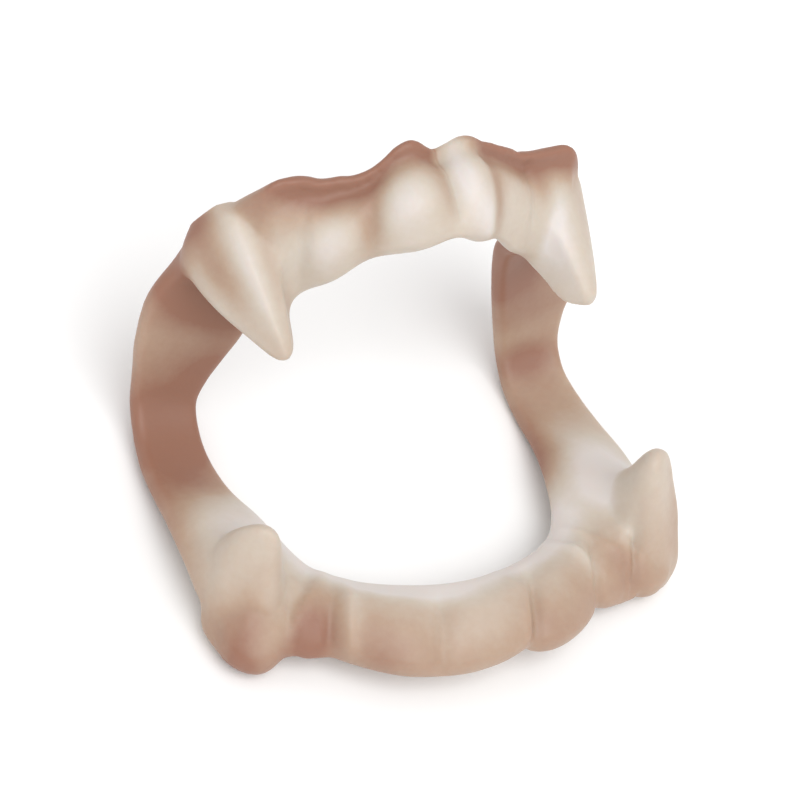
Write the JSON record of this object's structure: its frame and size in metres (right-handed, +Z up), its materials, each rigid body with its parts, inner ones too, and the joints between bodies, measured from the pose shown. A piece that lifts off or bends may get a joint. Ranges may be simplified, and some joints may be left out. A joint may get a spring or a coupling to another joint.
{
  "type": "vampire fang denture",
  "caption": "One-piece soft plastic costume denture: two fanged arches held open by side straps, worn over the teeth.",
  "frame": {"origin": "centre of the footprint of the denture's box, on the surface it lies on", "axes": "+X to the viewer's right along the arches' width, -Y the way the teeth face, +Z up, with the denture leaned back as it rests"},
  "size_m": [0.0602, 0.0494, 0.0417],
  "materials": {
    "soft_plastic": "satin, slightly translucent soft plastic"
  },
  "bodies": {
    "root": {"fang_denture": "soft_plastic"}
  },
  "joints": []
}
